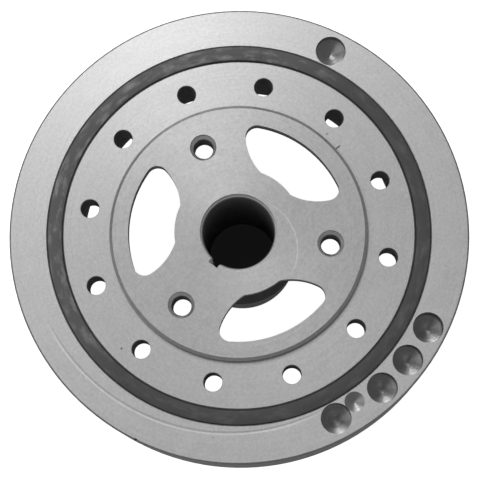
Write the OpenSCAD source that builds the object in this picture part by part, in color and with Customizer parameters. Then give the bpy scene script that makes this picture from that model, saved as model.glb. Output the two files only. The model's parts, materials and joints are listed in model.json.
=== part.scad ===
// Crankshaft vibration damper: a machined hub, a heavy outer ring, and a ring of rubber
// between them that lets the outer ring twist a little against the hub.
// +Z is the front, where the pulley bolts on. +X runs from the axis through the keyway.
// The origin is on the axis, at the rear end of the sleeve.

/* [Inertia ring] */
// Outside diameter of the inertia ring
ring_d = 203.2; // [201:0.1:206]
// Bore of the inertia ring
ring_bore_d = 169.6; // [169:0.1:171]
// Axial length of the inertia ring
ring_len = 39; // [37:0.5:41]
// Chamfer on the ring's edges
ring_chamfer = 0.8; // [0.4:0.1:1.2]
// Width of the timing groove across the outer rim
timing_w = 1.6; // [1:0.1:2.4]
// Depth of the timing groove
timing_deep = 1.1; // [0.6:0.1:1.5]
// Angle of the timing groove from the keyway
timing_turn = 11.4; // [0:0.1:40]

/* [Balance drillings] */
// Diameter of a balance drilling
drill_d = 13.4; // [11:0.1:14]
// Depth to the shoulder of the deep balance drillings
drill_deep = 9; // [5:0.5:14]
// Depth to the shoulder of the shallow balance drilling
drill_shallow = 5; // [2:0.5:8]
// Included angle of the drill point
drill_point = 135; // [90:1:140]
// Diameter of the spot left by a drill that only started
spot_d = 8.8; // [6:0.1:10]

/* [Rubber ring] */
// Gap between the rubber and the inertia ring, which lets the ring turn in the model
rubber_gap = 0.1; // [0.05:0.01:0.2]
// How far the rubber stands back from the front face
rubber_front = 1.0; // [0.5:0.1:2]
// How far the rubber stands back from the rear edge of the rim
rubber_rear = 1.4; // [0.5:0.1:3]

/* [Hub flange] */
// Outside diameter of the hub's rim, which the rubber grips
rim_d = 156; // [153:0.1:157]
// Wall of the rim behind the flange
rim_wall = 5.4; // [5:0.1:6.4]
// Axial length of the rim, from the flange face to its rear edge
rim_len = 38.7; // [36:0.1:41]
// Thickness of the drilled flange
flange_t = 15.5; // [12:0.5:18]
// Inner radius of the flange's raised back
flange_back_r = 55; // [54:0.5:58]
// Chamfer on the rim's edges
rim_chamfer = 0.6; // [0.3:0.1:1]
// Number of plain holes in the flange
hole_count = 12; // [6:1:12]
// Circle diameter of the plain holes
hole_pcd = 133.6; // [132:0.1:134]
// Diameter of the plain holes
hole_d = 8.3; // [7:0.1:8.6]
// Angle of the first plain hole from the keyway
hole_turn = 28; // [0:0.5:30]

/* [Pilot disc] */
// Diameter of the raised disc that the pulley sits on
disc_d = 114; // [112:0.1:116]
// Height of the raised disc above the flange face
disc_raise = 3.2; // [2:0.1:4]
// Chamfer round the raised disc
disc_chamfer = 1.4; // [0.8:0.1:1.8]
// Number of tapped holes in the disc
tap_count = 3; // [3:3:3]
// Circle diameter of the tapped holes
tap_pcd = 81.8; // [80:0.1:83]
// Diameter of the tapped holes, at the thread's pitch line
tap_d = 8.84; // [8:0.01:9.2]
// Diameter of the counterbore over a tapped hole
tap_mouth_d = 11.8; // [11:0.1:13]
// Depth of that counterbore's straight wall
tap_mouth_deep = 2.2; // [1:0.1:3]
// Thickness of the spokes that carry the tapped holes
spoke_t = 15.5; // [13:0.5:17]

/* [Windows] */
// Thickness of the web round a window
web_t = 6; // [5:0.5:8]
// Radius of a window's outer edge
window_out_r = 48.6; // [48:0.1:49.5]
// Radius of a window's inner edge
window_in_r = 28.2; // [28:0.1:29]
// Radius of the arc down each side of a window
window_side_r = 25.7; // [25:0.1:26]
// Radius of a window's two outer corners
window_corner_r = 5; // [4:0.1:6]
// Margin by which the cast pocket behind a window is larger than the window
pocket_margin = 3.2; // [2:0.1:3.6]

/* [Sleeve] */
// Distance from the flange face to the rear end of the sleeve
sleeve_reach = 71.6; // [66:0.1:76]
// Outside diameter of the ground seal surface
seal_d = 50; // [49:0.1:51]
// Axial length of the ground seal surface
seal_len = 36; // [30:1:40]
// Outside diameter of the sleeve next to the web
sleeve_root_d = 55; // [54:0.1:55.6]
// Chamfer that leads the seal onto the sleeve
seal_chamfer = 1.6; // [1:0.1:2.5]

/* [Crank bore] */
// Bore that presses onto the crankshaft
bore_d = 31.75; // [31:0.01:32.2]
// Diameter of the recess for the bolt's washer
mouth_d = 33.6; // [33.2:0.1:35]
// Depth of the washer recess
mouth_deep = 3.9; // [3:0.1:5]
// Width of the keyway
key_w = 4.76; // [4:0.01:6]
// Distance from the axis to the floor of the keyway
key_floor_r = 18.5; // [17.8:0.1:19]

/* [Hidden] */

round_fn = 180;   // smoothness of the large turned surfaces
hole_fn = 48;     // smoothness of the small holes
cut = 1;          // how far a cutting tool runs past a surface

face_z = sleeve_reach;                 // flange face and ring face, flush
top_z = face_z + disc_raise;           // front of the pilot disc
rim_back_z = face_z - rim_len;
rim_bore_r = rim_d / 2 - rim_wall;
flange_back_z = face_z - flange_t;
spoke_back_z = top_z - spoke_t;
web_back_z = top_z - web_t;
ring_back_z = face_z - ring_len;

seal_r = seal_d / 2;
root_r = sleeve_root_d / 2;
bore_r = bore_d / 2;
mouth_r = mouth_d / 2;
mouth_cone = mouth_r - bore_r;         // 45 degree cone at the floor of the recess
bore_rear_chamfer = 1;
edge_break = 0.2;

root_fillet = 5;                       // sleeve to spokes
rim_fillet = 0.9;                      // rim to the flange's back
step_fillet = 1.8;                     // flange's raised back to the spokes

tap_r = tap_d / 2;
tap_mouth_r = tap_mouth_d / 2;
tap_cone = tap_mouth_r - tap_r;        // 45 degree cone under the counterbore
tap_back_chamfer = 0.6;

// The centre of each window's side arc, out along the window's middle line and up from it
side_centre = [52.3, 3.9];
// The centre of a corner, which touches the outer edge and the side arc from inside
corner_reach = window_out_r - window_corner_r;
corner_span = window_side_r - window_corner_r;
side_gap = norm(side_centre);
corner_lean = acos((corner_reach ^ 2 + side_gap ^ 2 - corner_span ^ 2) / (2 * corner_reach * side_gap));
corner_angle = atan2(side_centre[1], side_centre[0]) + corner_lean;
corner_centre = corner_reach * [cos(corner_angle), sin(corner_angle)];

// Each balance drilling: its angle from the keyway, its radius, and its depth to the shoulder
drillings = [
    [191.0, 92.1, drill_shallow],
    [100.6, 92.9, drill_deep],
    [90.2, 92.8, drill_deep],
    [80.0, 92.7, drill_deep],
    [65.0, 92.0, drill_deep],
];
// The spot of the drill that only started: angle and radius
spot = [71.7, 89.9];
spot_lip = 0.2;

// Small marks of use on the flange face: angle, radius, length along the radius, width
chisel_marks = [
    [168.6, 58.3, 2.6, 0.8],
    [176.2, 59.3, 1.0, 0.5],
];
// A pit beside one of the plain holes: angle, radius, mouth radius
pit = [352.6, 72.3, 0.5];

// Places its children round the axis, each turned with its place.
module around(count, radius, start = 0) {
    for (i = [0:count - 1])
        rotate([0, 0, start + i * 360 / count])
            translate([radius, 0, 0])
                children();
}

// The concave corner between two surfaces, as a turned profile, pointing to +X and +Y.
module corner_fill(r) {
    difference() {
        square(r);
        translate([r, r])
            circle(r = r, $fn = hole_fn);
    }
}

// A rectangle from one corner to the other.
module span(low, high) {
    translate(low)
        square(high - low);
}

// A drill with its point at the bottom, its shoulder at z = 0.
module drill(r, up) {
    point_h = r / tan(drill_point / 2);
    cylinder(r = r, h = up, $fn = hole_fn);
    translate([0, 0, -point_h])
        cylinder(r1 = 0, r2 = r, h = point_h + 0.001, $fn = hole_fn);
}

// Half of a kidney window, on the +Y side of its middle line, grown outwards by a margin.
module window_half(grow) {
    out_r = window_out_r + grow;
    side_r = window_side_r + grow;
    corner_r = window_corner_r + grow;
    to_side = corner_centre - side_centre;
    on_edge = corner_centre * out_r / norm(corner_centre);
    on_side = side_centre + to_side * side_r / norm(to_side);
    beyond = corner_centre + 3 * corner_r * [cos(corner_angle + 30), sin(corner_angle + 30)];
    difference() {
        intersection() {
            circle(r = out_r, $fn = round_fn);
            translate(side_centre)
                circle(r = side_r, $fn = round_fn);
            span([0, -0.01], [2 * out_r, 2 * out_r]);
        }
        polygon([on_edge, beyond, on_side]);
    }
    translate(corner_centre)
        circle(r = corner_r, $fn = hole_fn);
}

// A whole kidney window about +X, cleared round the sleeve.
module window_outline(grow, inner_r) {
    difference() {
        union() {
            window_half(grow);
            mirror([0, 1])
                window_half(grow);
        }
        circle(r = inner_r, $fn = round_fn);
    }
}

// Half section of the hub before its holes: radius along X, height along Y.
module hub_section() {
    // sleeve, with its ground seal surface and the lead-in at the rear end
    polygon([
        [0, 0],
        [seal_r - seal_chamfer, 0],
        [seal_r, seal_chamfer * 1.6],
        [seal_r, seal_len],
        [root_r, seal_len + 2],
        [root_r, spoke_back_z + cut],
        [0, spoke_back_z + cut],
    ]);
    translate([root_r, spoke_back_z])
        mirror([0, 1])
            corner_fill(root_fillet);
    // spokes and web, before the windows are cut
    span([0, spoke_back_z], [flange_back_r + cut, face_z]);
    // pilot disc
    polygon([
        [0, face_z - cut],
        [disc_d / 2, face_z - cut],
        [disc_d / 2, top_z - disc_chamfer],
        [disc_d / 2 - disc_chamfer, top_z],
        [0, top_z],
    ]);
    // flange and the rim behind it
    span([flange_back_r, flange_back_z], [rim_bore_r + cut, face_z]);
    polygon([
        [rim_bore_r, rim_back_z + rim_chamfer],
        [rim_bore_r + rim_chamfer, rim_back_z],
        [rim_d / 2 - rim_chamfer, rim_back_z],
        [rim_d / 2, rim_back_z + rim_chamfer],
        [rim_d / 2, face_z - rim_chamfer],
        [rim_d / 2 - rim_chamfer, face_z],
        [rim_bore_r, face_z],
    ]);
    translate([rim_bore_r, flange_back_z])
        rotate(180)
            corner_fill(rim_fillet);
    translate([flange_back_r, spoke_back_z])
        rotate(180)
            corner_fill(step_fillet);
}

// The bore, the washer recess at its front and the chamfer at its rear, as one turned cutter.
module bore_cutter() {
    rotate_extrude($fn = round_fn)
        polygon([
            [0, -cut],
            [bore_r + bore_rear_chamfer + cut, -cut],
            [bore_r, bore_rear_chamfer],
            [bore_r, top_z - mouth_deep],
            [mouth_r, top_z - mouth_deep + mouth_cone],
            [mouth_r, top_z - edge_break],
            [mouth_r + edge_break + cut, top_z + cut],
            [0, top_z + cut],
        ]);
}

// A tapped hole through a spoke, with its counterbore.
module tap_cutter() {
    low = spoke_back_z - root_fillet;
    rotate_extrude($fn = hole_fn)
        polygon([
            [0, low],
            [tap_r + tap_back_chamfer, low],
            [tap_r + tap_back_chamfer, spoke_back_z],
            [tap_r, spoke_back_z + tap_back_chamfer],
            [tap_r, top_z - tap_mouth_deep - tap_cone],
            [tap_mouth_r, top_z - tap_mouth_deep],
            [tap_mouth_r, top_z + cut],
            [0, top_z + cut],
        ]);
}

// A plain hole through the flange, with its front edge broken.
module hole_cutter() {
    r = hole_d / 2;
    rotate_extrude($fn = hole_fn)
        polygon([
            [0, flange_back_z - cut],
            [r, flange_back_z - cut],
            [r, face_z - edge_break],
            [r + edge_break + cut, face_z + cut],
            [0, face_z + cut],
        ]);
}

// A shallow V cut in the flange face, along the radius.
module chisel_mark(angle, radius, length, width) {
    rotate([0, 0, angle])
        translate([radius, 0, face_z])
            rotate([45, 0, 0])
                cube([length, width / sqrt(2), width / sqrt(2)], center = true);
}

module hub() {
    color([0.66, 0.66, 0.66])
        difference() {
            rotate_extrude($fn = round_fn)
                hub_section();
            bore_cutter();
            // keyway
            translate([0, -key_w / 2, -cut])
                cube([key_floor_r, key_w, top_z + 2 * cut]);
            // windows, half way between the tapped holes, each with its cast pocket behind
            around(tap_count, 0, 180 / tap_count) {
                translate([0, 0, rim_back_z])
                    linear_extrude(top_z)
                        window_outline(0, window_in_r);
                translate([0, 0, rim_back_z])
                    linear_extrude(web_back_z - rim_back_z)
                        window_outline(pocket_margin, root_r);
            }
            around(tap_count, tap_pcd / 2)
                tap_cutter();
            around(hole_count, hole_pcd / 2, hole_turn)
                hole_cutter();
            for (mark = chisel_marks)
                chisel_mark(mark[0], mark[1], mark[2], mark[3]);
            rotate([0, 0, pit[0]])
                translate([pit[1], 0, face_z - pit[2]])
                    cylinder(r1 = 0, r2 = 2 * pit[2], h = 2 * pit[2], $fn = hole_fn);
        }
}

module elastomer_ring() {
    color([0.20, 0.20, 0.20])
        rotate_extrude($fn = round_fn)
            span([rim_d / 2, rim_back_z + rubber_rear],
                 [ring_bore_d / 2 - rubber_gap, face_z - rubber_front]);
}

module inertia_ring() {
    out_r = ring_d / 2;
    in_r = ring_bore_d / 2;
    c = ring_chamfer;
    color([0.72, 0.72, 0.72])
        difference() {
            rotate_extrude($fn = round_fn)
                polygon([
                    [in_r, ring_back_z + c],
                    [in_r + c, ring_back_z],
                    [out_r - c, ring_back_z],
                    [out_r, ring_back_z + c],
                    [out_r, face_z - c],
                    [out_r - c, face_z],
                    [in_r + c / 2, face_z],
                    [in_r, face_z - c / 2],
                ]);
            for (d = drillings)
                rotate([0, 0, d[0]])
                    translate([d[1], 0, face_z - d[2]])
                        drill(drill_d / 2, d[2] + cut);
            rotate([0, 0, spot[0]])
                translate([spot[1], 0, face_z - spot_lip])
                    drill(spot_d / 2, cut);
            // timing groove across the rim
            rotate([0, 0, timing_turn])
                translate([out_r - timing_deep, -timing_w / 2, ring_back_z - cut])
                    cube([timing_deep + cut, timing_w, ring_len + 2 * cut]);
        }
}

hub();
elastomer_ring();
inertia_ring();
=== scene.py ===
import json
import math

import bmesh
import bpy
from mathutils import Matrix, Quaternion, Vector, noise


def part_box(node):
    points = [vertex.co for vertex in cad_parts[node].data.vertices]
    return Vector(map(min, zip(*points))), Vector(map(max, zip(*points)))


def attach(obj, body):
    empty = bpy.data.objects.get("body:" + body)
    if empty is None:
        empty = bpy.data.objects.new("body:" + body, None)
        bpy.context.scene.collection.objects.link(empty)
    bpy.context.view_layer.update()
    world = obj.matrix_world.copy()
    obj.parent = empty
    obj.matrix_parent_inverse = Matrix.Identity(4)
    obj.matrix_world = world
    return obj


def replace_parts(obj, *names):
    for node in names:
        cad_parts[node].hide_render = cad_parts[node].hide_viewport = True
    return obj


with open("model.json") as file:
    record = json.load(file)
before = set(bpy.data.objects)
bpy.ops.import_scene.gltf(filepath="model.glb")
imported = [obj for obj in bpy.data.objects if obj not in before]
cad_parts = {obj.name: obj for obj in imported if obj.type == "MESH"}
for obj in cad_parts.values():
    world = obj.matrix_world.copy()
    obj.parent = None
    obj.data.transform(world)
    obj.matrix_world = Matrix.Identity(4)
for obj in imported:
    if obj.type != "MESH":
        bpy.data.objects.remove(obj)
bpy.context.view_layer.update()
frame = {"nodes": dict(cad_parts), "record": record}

mm = 0.001
hub = frame["nodes"]["hub"]
ring = frame["nodes"]["inertia_ring"]
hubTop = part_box("hub")[1]
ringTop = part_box("inertia_ring")[1]
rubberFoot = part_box("elastomer_ring")[0]
mounts = {mount["name"]: mount["dims"] for mount in frame["record"]["mounts"]}
discTop = hubTop.z / mm               # front of the pilot disc, in millimetres
faceTop = ringTop.z / mm              # front of the outer ring and of the hub's flange
rimOut = hubTop.x / mm                # the hub's rim, where the rubber starts
ringOut = ringTop.x / mm
discOut = mounts["pilot_disc"]["r_mm"]
tapRadius = mounts["pulley_bolts"]["pcd_mm"] / 2
tapCount = mounts["pulley_bolts"]["count"]
print("frame loaded")


class Wire:
    # one output of a material's nodes, so that shader maths reads as maths
    def __init__(self, tree, socket):
        self.tree = tree
        self.socket = socket

    def add(self, kind, settings, values, output=0):
        node = self.tree.nodes.new("ShaderNode" + kind)
        for name, value in settings.items():
            setattr(node, name, value)
        for name, value in values.items():
            if isinstance(value, Wire):
                self.tree.links.new(value.socket, node.inputs[name])
            else:
                node.inputs[name].default_value = value
        return Wire(self.tree, node.outputs[output])

    def maths(self, operation, *values):
        return self.add("Math", {"operation": operation}, dict(enumerate(values)))

    def __add__(self, other):
        return self.maths("ADD", self, other)

    def __radd__(self, other):
        return self.maths("ADD", other, self)

    def __sub__(self, other):
        return self.maths("SUBTRACT", self, other)

    def __rsub__(self, other):
        return self.maths("SUBTRACT", other, self)

    def __mul__(self, other):
        return self.maths("MULTIPLY", self, other)

    def __rmul__(self, other):
        return self.maths("MULTIPLY", other, self)

    def __truediv__(self, other):
        return self.maths("DIVIDE", self, other)

    def __pow__(self, other):
        return self.maths("POWER", self, other)

    def __abs__(self):
        return self.maths("ABSOLUTE", self)

    def most(self, other):
        return self.maths("MAXIMUM", self, other)

    def least(self, other):
        return self.maths("MINIMUM", self, other)

    def rise(self, low, high):
        # 0 below low, 1 above high, smooth between; falls if low is the larger
        return self.add("MapRange", {"interpolation_type": "SMOOTHSTEP"},
                        {"Value": self, "From Min": low, "From Max": high})

    def band(self, low, high, soft):
        return self.rise(low - soft, low + soft) * self.rise(high + soft, high - soft)


def newFinish(name):
    # a new material: its shader, and where a point of the surface is, in millimetres
    material = bpy.data.materials.new(name)
    material.use_nodes = True
    tree = material.node_tree
    place = Wire(tree, None).add("TexCoord", {}, {}, "Object")
    point = place.add("VectorMath", {"operation": "SCALE"}, {"Vector": place, "Scale": 1 / mm})
    return material, tree.nodes["Principled BSDF"], point


def spread(point):
    # x, y and z of a point, its distance from the axis and its angle in degrees
    x, y, z = (point.add("SeparateXYZ", {}, {"Vector": point}, axis) for axis in "XYZ")
    radius = (x * x + y * y) ** 0.5
    angle = y.maths("ARCTAN2", y, x) * (180 / math.pi)
    return x, y, z, radius, angle


def grain(point, size, detail=2.0, rough=0.5):
    # soft noise with lumps of that size in millimetres, from 0 to 1
    return point.add("TexNoise", {}, {"Vector": point, "Scale": 1 / size,
                                      "Detail": detail, "Roughness": rough})


def drawnGrain(x, y, across, pitch, along):
    # noise drawn out round the axis: one pitch across, in millimetres, and so many lumps to a radian along
    reach = (x * x + y * y) ** 0.5
    place = x.add("CombineXYZ", {}, {
        "X": x / reach * along,
        "Y": y / reach * along,
        "Z": across / pitch,
    })
    return x.add("TexNoise", {}, {"Vector": place, "Scale": 1.0, "Detail": 3.0, "Roughness": 0.6})


def distanceTo(x, y, spot):
    # how far a point is from a line parallel to the axis
    dx, dy = x - spot[0], y - spot[1]
    return (dx * dx + dy * dy) ** 0.5


def polar(angle, radius):
    # x and y of a place given by its angle from the keyway, in degrees, and its radius
    turn = math.radians(angle)
    return radius * math.cos(turn), radius * math.sin(turn)


def nearest(x, y, places):
    # how far a point is from the nearest of some places, each an angle and a radius
    found = distanceTo(x, y, polar(*places[0]))
    for place in places[1:]:
        found = found.least(distanceTo(x, y, polar(*place)))
    return found


def scratch(x, y, angle, mark):
    # 1 on a fine circular line that is struck round its own centre, between two angles
    off = abs(distanceTo(x, y, mark["centre"]) - mark["radius"])
    return off.rise(mark["width"], mark["width"] * 0.2) * angle.band(*mark["between"], mark["fade"])


def link(shader, name, wire):
    wire.tree.links.new(wire.socket, shader.inputs[name])


def grey(value):
    # a value as a colour, neutral grey
    return value.add("CombineColor", {}, {"Red": value, "Green": value, "Blue": value})


def bump(height):
    # the normals of a surface that is raised by that many millimetres
    return height.add("Bump", {}, {"Height": height, "Distance": mm, "Strength": 1.0})


def drawnRound(shader):
    # turned iron glints across its tool marks, which run round the axis
    shader.inputs["Anisotropic"].default_value = machined["drawn"]
    shader.inputs["Anisotropic Rotation"].default_value = 0.25


machined = {
    "hubShade": 0.62,
    "ringShade": 0.68,
    "rough": 0.46,
    "uneven": 0.12,            # how much the roughness varies
    "metal": 0.95,
    "markPitch": 0.35,         # between one tool mark and the next
    "markDepth": 0.03,
    "markTone": 0.14,          # how much the shade varies from mark to mark
    "drawn": 0.33,             # how much the marks draw out a glint
    "mottleSize": 9,
    "mottleTone": 0.14,
    "blotchSize": 1.3,
    "blotchTone": 0.36,
}
cast = {"shade": 0.20, "rough": 0.68, "metal": 0.55, "lump": 1.4, "depth": 0.12, "lumpTone": 0.16,
        "mottleTone": 0.08}


def turnedShade(point, x, y, across, shade):
    # the tone of turned iron: its tool marks, a faint mottle and small blotches
    marks = drawnGrain(x, y, across, machined["markPitch"], 1.7)
    mottle = grain(point, machined["mottleSize"], 4.0, 0.6)
    blotch = grain(point, machined["blotchSize"], 4.0, 0.75)
    tone = shade + machined["mottleTone"] * (mottle - 0.5)
    tone = tone + machined["markTone"] * (marks - 0.5) + machined["blotchTone"] * (blotch - 0.5)
    return tone, marks, mottle


hubLook = {
    # where each surface lies: out from the axis, or up from the sleeve's end, in millimetres
    "bore": 16.3,
    "recess": 19.0,            # the wider front end of the bore, with its keyway
    "seal": (23, 25.2),        # the sleeve's outside, where an oil seal runs
    "sealEnd": 36.4,
    "holes": (62, 71.3),       # the band that holds the plain holes
    "holeFoot": 56.3,
    "tap": 4.6,                # out from each tapped hole's own axis
    "tapMouth": 6.0,
    "bevel": 1.4,              # the width of the disc's edge
    # how light they are, or how much lighter or darker than other turned iron
    # the bore, the plain holes and the tapped walls are painted dark: painted shade inside them
    "boredPaintedShade": 0.24,
    "boredMarks": 0.12,
    "boredSmoother": 0.12,
    # the recess at the bore's front is painted nearly white: painted light on its walls
    "recessPaintedLight": 0.9,
    "recessMetal": -0.4,
    # the tapped holes' seats are lighter: painted light
    "tapSeatPaintedLight": 0.14,
    "disc": -0.06,
    # the disc's bevelled edge and the wall below it are darker: painted shade
    "discBevelPaintedShade": -0.06,
    "discStepPaintedShade": -0.42,
}
discScuff = {"centre": (4.51, 7.25), "radius": 23.0, "width": 0.5, "between": (92, 165), "fade": 10,
             "tone": 0.14}


def hubFinish():
    material, shader, point = newFinish("hubIron")
    x, y, z, radius, angle = spread(point)

    face = z.rise(faceTop - 0.5, faceTop - 0.2)
    onDisc = z.rise(faceTop + 0.2, discTop - 0.2)
    inside = z.rise(discTop - 0.05, discTop - 0.1)
    sleeve = radius.band(*hubLook["seal"], 0.3) * z.rise(hubLook["sealEnd"], hubLook["sealEnd"] - 0.4)
    rim = radius.rise(rimOut - 1.0, rimOut - 0.6)
    turned = face.most(sleeve).most(rim)
    bore = radius.rise(hubLook["bore"], hubLook["bore"] - 0.2) * inside
    recess = radius.band(hubLook["bore"], hubLook["recess"], 0.1) * inside
    holes = radius.band(*hubLook["holes"], 0.2) * z.band(hubLook["holeFoot"], faceTop - 0.3, 0.1)
    taps = nearest(x, y, [(i * 360 / tapCount, tapRadius) for i in range(tapCount)])
    tapWalls = taps.rise(hubLook["tap"], hubLook["tap"] - 0.1) * inside
    seats = taps.band(hubLook["tap"], hubLook["tapMouth"], 0.1) * inside
    bored = bore.most(holes).most(tapWalls)

    bright, marks, mottle = turnedShade(point, x, y, radius + z, machined["hubShade"])
    scuff = scratch(x, y, angle, discScuff) * onDisc
    bright = bright + hubLook["disc"] * onDisc + discScuff["tone"] * scuff
    edge = radius.rise(discOut - hubLook["bevel"] - 0.1, discOut - hubLook["bevel"])
    bevelFoot = discTop - hubLook["bevel"] - 0.05
    bevel = edge * z.rise(bevelFoot, bevelFoot + 0.1) * inside
    step = edge * z.band(faceTop + 0.05, bevelFoot, 0.04)
    # painted shade on the disc's bevelled edge and its wall
    bright = bright + hubLook["discBevelPaintedShade"] * bevel + hubLook["discStepPaintedShade"] * step
    lumps = grain(point, cast["lump"], 5.0, 0.62)
    dark = cast["shade"] + cast["lumpTone"] * (lumps - 0.5) + cast["mottleTone"] * (mottle - 0.5)
    shade = dark + turned * (bright - dark)
    # painted shade darkens the bore, the plain holes and the tapped walls
    boredTone = hubLook["boredPaintedShade"] + hubLook["boredMarks"] * (marks - 0.5)
    # painted light on the tapped holes' seats
    shade = shade + bored * (boredTone - shade) + hubLook["tapSeatPaintedLight"] * seats
    # painted light: the bore's front recess is made nearly white
    shade = shade + recess * (hubLook["recessPaintedLight"] - shade)
    rough = cast["rough"] + turned * (machined["rough"] - cast["rough"])
    rough = rough + machined["uneven"] * (mottle - 0.5)
    metal = cast["metal"] + (machined["metal"] - cast["metal"]) * turned + hubLook["recessMetal"] * recess

    link(shader, "Base Color", grey(shade))
    link(shader, "Roughness", rough - bored * hubLook["boredSmoother"])
    link(shader, "Metallic", metal)
    drawnRound(shader)
    height = turned * marks * machined["markDepth"] + (1 - turned) * (1 - bored) * lumps * cast["depth"]
    link(shader, "Normal", bump(height))
    return material


ringLook = {
    "bevel": 0.8,              # the width of its edge, in millimetres
    "backHeight": 33.4,        # up from the sleeve's end
    "back": -0.10,             # how much lighter or darker than the front
    # the ring's outer wall is darker: painted shade
    "rimWall": -0.34,
    "rimRougher": 0.06,
}
drilled = {
    # each place is an angle from the keyway and a radius
    "places": [(191.0, 92.1), (100.6, 92.9), (90.2, 92.8), (80.0, 92.7), (65.0, 92.0)],
    "radius": 6.7,
    "start": (71.7, 89.9),     # where a drill was started and the place given up
    "startRadius": 4.4,
    "foot": 50,                # lower than any of them reaches
    # the drillings are darker than the turned face: painted shade inside them
    "shade": 0.37,
    "rough": 0.38,
    "feed": 0.5,               # between one of the drill's marks and the next
    "feedDepth": 0.10,
    "feedTone": 0.3,           # how much the shade varies from mark to mark
}
# a shallow scribed groove drawn only in colour: a painted highlight along its lit edge and a painted
# shadow along the other
scribeHighlight = {"centre": (1.44, -4.05), "radius": 89.9, "width": 0.55, "between": (-24, 60), "fade": 6,
          "tone": 0.18}
scribeShadow = {**scribeHighlight, "radius": scribeHighlight["radius"] - 0.95}
nicks = {"bright": [(290.5, 85.7), (357.0, 92.8)], "dark": [(30.6, 90.4)], "radius": 0.45,
         "brighter": 0.20, "darker": -0.30}


def ringFinish():
    material, shader, point = newFinish("ringIron")
    x, y, z, radius, angle = spread(point)

    face = z.rise(faceTop - 0.3, faceTop - 0.1)
    rimWall = radius.rise(ringOut - ringLook["bevel"], ringOut - ringLook["bevel"] + 0.1)
    back = z.rise(ringLook["backHeight"], ringLook["backHeight"] - 0.4)
    shade, marks, mottle = turnedShade(point, x, y, radius + z, machined["ringShade"])
    # painted highlight and painted shadow of the scribed groove's edges
    scribeHighlightAndShadow = scratch(x, y, angle, scribeHighlight) - scratch(x, y, angle, scribeShadow)
    shade = shade + scribeHighlight["tone"] * scribeHighlightAndShadow * face
    # painted shade on the ring's outer wall
    shade = shade + ringLook["back"] * back + ringLook["rimWall"] * rimWall
    shade = shade + nicks["brighter"] * nearest(x, y, nicks["bright"]).rise(nicks["radius"], 0.1) * face
    shade = shade + nicks["darker"] * nearest(x, y, nicks["dark"]).rise(nicks["radius"], 0.1) * face
    rough = machined["rough"] + machined["uneven"] * (mottle - 0.5) + ringLook["rimRougher"] * rimWall
    link(shader, "Base Color", grey(shade))
    link(shader, "Roughness", rough)
    shader.inputs["Metallic"].default_value = machined["metal"]
    drawnRound(shader)
    link(shader, "Normal", bump(marks * machined["markDepth"]))

    # the drillings have marks of their own, round each drill's axis
    drill = nearest(x, y, drilled["places"])
    start = nearest(x, y, [drilled["start"]])
    below = z.rise(drilled["foot"], drilled["foot"] + 1) * z.rise(faceTop - 0.05, faceTop - 0.15)
    within = drill.rise(drilled["radius"] + 0.2, drilled["radius"])
    within = within.most(start.rise(drilled["startRadius"] + 0.1, drilled["startRadius"])) * below
    swirl = drawnGrain(x, y, drill.least(start), drilled["feed"], 4.0)
    # painted shade: the drillings' base is darker than the face's
    cut = within.add("BsdfPrincipled", {}, {
        "Base Color": grey(drilled["shade"] + drilled["feedTone"] * (swirl - 0.5)),
        "Roughness": drilled["rough"],
        "Metallic": machined["metal"],
        "Normal": bump(swirl * drilled["feedDepth"]),
    })
    both = within.add("MixShader", {}, {0: within, 1: Wire(within.tree, shader.outputs[0]), 2: cut})
    link(within.tree.nodes["Material Output"], "Surface", both)
    return material


rubber = {
    "inner": rimOut,           # moulded against the hub's rim
    "outer": 84.72,            # just short of the outer ring's bore
    "shoulder": 0.45,          # how far the front edges stand above the flange's face
    "crown": 0.75,             # how far the middle does
    "edgeRound": 0.8,
    "steps": 360,
    "splice": 210.5,           # where the strip's ends meet, in degrees from the keyway
    "spliceWidth": 0.24,       # in degrees
    "spliceStep": 0.28,        # how far one end stands above the other
    "spliceReach": 40,         # the degrees over which that step dies away
    "wave": 0.10,              # how uneven the front is
    # the band's edges keep the darkest tone: painted shade in the crevices along them, and clean rubber
    # where dust doesn't lie
    "edgeShade": 0.03,
    "crownShade": 0.07,        # how much lighter the middle of the band is
    "chalk": 0.06,             # and its worn patches
    "dustAndLitSide": (-170, -12),      # the part of the band with the most dust, on the side toward the lamps, lighter with painted light as well as dust, in degrees
    "dustAndLightShade": 0.05,         # how much lighter the middle is there, with dust and painted light
    "dustAndLightChalk": 0.16,         # and its worn patches
    "speckTone": 0.04,
    "speckSize": 0.6,
    "speckDepth": 0.05,
    "bloomPitch": 3.2,         # across the band, from one worn patch to the next
    "bloomDepth": 0.06,
    "rough": 0.62,
    "chalkRougher": 0.15,
    "gloss": 0.35,
}


def rubberFinish():
    material, shader, point = newFinish("damperRubber")
    x, y, _, radius, angle = spread(point)
    bloom = drawnGrain(x, y, radius, rubber["bloomPitch"], 9.0)
    specks = grain(point, rubber["speckSize"], 2.0, 0.7)
    crown = radius.band(rubber["inner"] + 0.35, rubber["outer"] - 0.35, 0.3)
    # dust and painted light: the side of the band toward the lamps is lighter
    dustAndLitSide = angle.band(*rubber["dustAndLitSide"], 14)
    chalk = bloom.rise(0.45, 0.75) * crown
    # painted shade along the band's edges, with dust on its middle
    shade = rubber["edgeShade"] + (rubber["crownShade"] + rubber["dustAndLightShade"] * dustAndLitSide) * crown
    shade = shade + (rubber["chalk"] + rubber["dustAndLightChalk"] * dustAndLitSide) * chalk
    shade = shade + rubber["speckTone"] * (specks - 0.5)
    link(shader, "Base Color", grey(shade))
    link(shader, "Roughness", rubber["rough"] + rubber["chalkRougher"] * chalk)
    shader.inputs["Specular IOR Level"].default_value = rubber["gloss"]
    link(shader, "Normal", bump(specks * rubber["speckDepth"] + bloom * rubber["bloomDepth"]))
    return material


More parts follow.
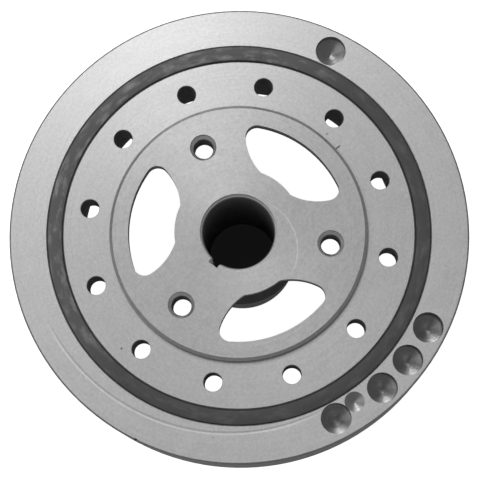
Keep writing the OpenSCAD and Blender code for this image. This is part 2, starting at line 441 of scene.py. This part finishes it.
def newPiece(name, work, material, body):
    # the finished piece, from a mesh that is in its place already, in millimetres
    bmesh.ops.remove_doubles(work, verts=work.verts, dist=1e-4)
    bmesh.ops.recalc_face_normals(work, faces=work.faces)
    bmesh.ops.scale(work, vec=(mm, mm, mm), verts=work.verts)
    mesh = bpy.data.meshes.new(name)
    work.to_mesh(mesh)
    work.free()
    mesh.materials.append(material)
    piece = bpy.data.objects.new(name, mesh)
    bpy.context.scene.collection.objects.link(piece)
    mesh.shade_smooth()
    mesh.set_sharp_from_angle(angle=math.radians(40))
    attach(piece, body)
    return piece


def makeRubberBand(material):
    work = bmesh.new()
    foot = rubberFoot.z / mm
    shoulder = faceTop + rubber["shoulder"]
    crown = faceTop + rubber["crown"]
    middle = (rubber["inner"] + rubber["outer"]) / 2
    corners = [(rubber["inner"], foot), (rubber["inner"], shoulder), (middle, crown),
               (rubber["outer"], shoulder), (rubber["outer"], foot)]
    verts = [work.verts.new((r, 0, z)) for r, z in corners]
    for i in range(len(verts)):
        work.edges.new((verts[i], verts[(i + 1) % len(verts)]))
    bmesh.ops.bevel(work, geom=verts[1:4], offset=rubber["edgeRound"], affect="VERTICES",
                    segments=6, profile=0.5, material=-1)
    bmesh.ops.spin(work, geom=work.verts[:] + work.edges[:], cent=(0, 0, 0), axis=(0, 0, 1),
                   angle=2 * math.pi, steps=rubber["steps"], use_merge=True, use_duplicate=False)
    for side in (-0.5, 0.5):
        # two cuts close together let the front step at the splice
        cut = rubber["splice"] + side * rubber["spliceWidth"]
        across = Vector((*polar(cut + 90, 1), 0))
        bmesh.ops.bisect_plane(work, geom=work.verts[:] + work.edges[:] + work.faces[:], dist=1e-5,
                               plane_co=(0, 0, 0), plane_no=across)
    for vert in work.verts:
        if vert.co.z > shoulder - rubber["edgeRound"] + 0.1:
            turn = (math.degrees(math.atan2(vert.co.y, vert.co.x)) - rubber["splice"]) % 360
            vert.co.z += rubber["spliceStep"] * (max(0, 1 - turn / rubber["spliceReach"]) - 0.4)
            vert.co.z += rubber["wave"] * noise.noise(vert.co * 0.12)
    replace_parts(newPiece("rubber_band", work, material, "hub"), "elastomer_ring")
    print("rubber band made")


thread = {
    "pitch": 1.058,
    "crest": 4.22,             # radius of the thread's inner edge
    "root": 4.46,              # and where it goes into the wall
    "flat": 0.10,              # half the width of the inner edge
    "base": 0.46,              # half the width in the wall, as a share of the pitch
    "low": 60.2,               # where the thread starts, up from the sleeve's end
    "high": 70.9,              # and where it ends
    "steps": 36,               # to a turn
}


def makeThreads(material):
    climb = thread["high"] - thread["low"]
    turns = climb / thread["pitch"]
    steps = round(turns * thread["steps"])
    half = thread["pitch"] * thread["base"]
    outline = [(thread["root"], -half), (thread["crest"], -thread["flat"]),
               (thread["crest"], thread["flat"]), (thread["root"], half)]
    for i in range(tapCount):
        work = bmesh.new()
        profile = work.faces.new([work.verts.new((r, 0, thread["low"] + z)) for r, z in outline])
        bmesh.ops.spin(work, geom=[profile], cent=(0, 0, 0), axis=(0, 0, 1), angle=2 * math.pi * turns,
                       steps=steps, dvec=(0, 0, climb / steps))
        bmesh.ops.translate(work, vec=(*polar(i * 360 / tapCount, tapRadius), 0), verts=work.verts)
        newPiece(f"thread_{i + 1}", work, material, "hub")
    print("threads cut")


view = {
    "aim": (0.0018, 0.0022, 0.0716),   # the point that the camera looks at, in metres
    "heading": 47.1,                   # where the camera stands, in degrees from the keyway
    "elevation": 80.56,
    "distance": 0.7937,
    "roll": -9.6,
    "lens": 135,
}


def makeCamera():
    heading, elevation = math.radians(view["heading"]), math.radians(view["elevation"])
    back = Vector((math.cos(heading) * math.cos(elevation), math.sin(heading) * math.cos(elevation),
                   math.sin(elevation)))
    lens = bpy.data.cameras.new("camera")
    lens.lens = view["lens"]
    lens.clip_start = 0.05
    eye = bpy.data.objects.new("camera", lens)
    eye.location = Vector(view["aim"]) + back * view["distance"]
    eye.rotation_mode = "QUATERNION"
    level = (-back).to_track_quat("-Z", "Y")
    eye.rotation_quaternion = level @ Quaternion((0, 0, 1), math.radians(view["roll"]))
    bpy.context.scene.collection.objects.link(eye)
    bpy.context.scene.camera = eye
    return eye


# each light's place is how far right, up and towards the camera it is from the hub's front, in metres
lights = {
    "key": {"place": (-0.27, 0.84, 1.36), "size": 0.72, "power": 3.75},
    "high": {"place": (-0.50, 1.60, 1.26), "size": 0.6, "power": 7.8},
    "fill": {"place": (-1.0, -0.1, 1.0), "size": 0.8, "power": 1.7},
}
# how bright the surroundings are: as light, overhead and all around, and as the backdrop that is seen
room = {"overhead": 0.16, "around": 0.32, "seen": 0.95}


def makeLights(eye):
    centre = Vector((0, 0, hubTop.z))
    for name, lamp in lights.items():
        data = bpy.data.lights.new(name, "AREA")
        data.shape = "DISK"
        data.size = lamp["size"]
        data.energy = lamp["power"]
        holder = bpy.data.objects.new(name, data)
        holder.location = centre + eye.rotation_quaternion @ Vector(lamp["place"])
        holder.rotation_mode = "QUATERNION"
        holder.rotation_quaternion = (centre - holder.location).to_track_quat("-Z", "Y")
        bpy.context.scene.collection.objects.link(holder)
    world = bpy.data.worlds.new("studio")
    world.use_nodes = True
    world.node_tree.nodes["Background"].inputs["Color"].default_value = (1, 1, 1, 1)
    seen = Wire(world.node_tree, None).add("LightPath", {}, {}, "Is Camera Ray")
    way = seen.add("TexCoord", {}, {}, "Generated")
    height = way.add("SeparateXYZ", {}, {"Vector": way}, "Z")
    glow = room["overhead"] + (room["around"] - room["overhead"]) * height.rise(0.85, 0.3)
    link(world.node_tree.nodes["Background"], "Strength", glow + seen * (room["seen"] - glow))
    bpy.context.scene.world = world
    bpy.context.scene.view_settings.view_transform = "Standard"
    print("lights set")


floor = {
    "size": 6.0,               # in metres
    "shade": 0.8,
    "glow": 0.95,
    "darkGlow": 0.005,
    "darkRadius": 22.0,        # in millimetres
}


def makeFloor():
    # a pale sheet that glows a little, so that it is clean through the windows; under the bore it is
    # painted black and doesn't glow, a painted shade there; it can be seen through from below
    material, shader, point = newFinish("paleSheet")
    radius = spread(point)[3]
    # painted shade: the sheet is black under the bore
    pale = radius.rise(floor["darkRadius"], floor["darkRadius"] + 1)
    glow = floor["darkGlow"] + (floor["glow"] - floor["darkGlow"]) * pale
    seen = point.add("LightPath", {}, {}, "Is Camera Ray")
    link(shader, "Base Color", grey(floor["shade"] * pale))
    link(shader, "Emission Color", grey(seen * glow))
    link(shader, "Alpha", 1 - point.add("NewGeometry", {}, {}, "Backfacing"))
    shader.inputs["Emission Strength"].default_value = 1.0
    shader.inputs["Roughness"].default_value = 0.9
    work = bmesh.new()
    bmesh.ops.create_grid(work, x_segments=1, y_segments=1, size=floor["size"] / 2)
    mesh = bpy.data.meshes.new("floor")
    work.to_mesh(mesh)
    work.free()
    mesh.materials.append(material)
    sheet = bpy.data.objects.new("floor", mesh)
    bpy.context.scene.collection.objects.link(sheet)


hubIron = hubFinish()
hub.material_slots[0].material = hubIron
ring.material_slots[0].material = ringFinish()
print("irons finished")
makeRubberBand(rubberFinish())
makeThreads(hubIron)
makeFloor()
makeLights(makeCamera())
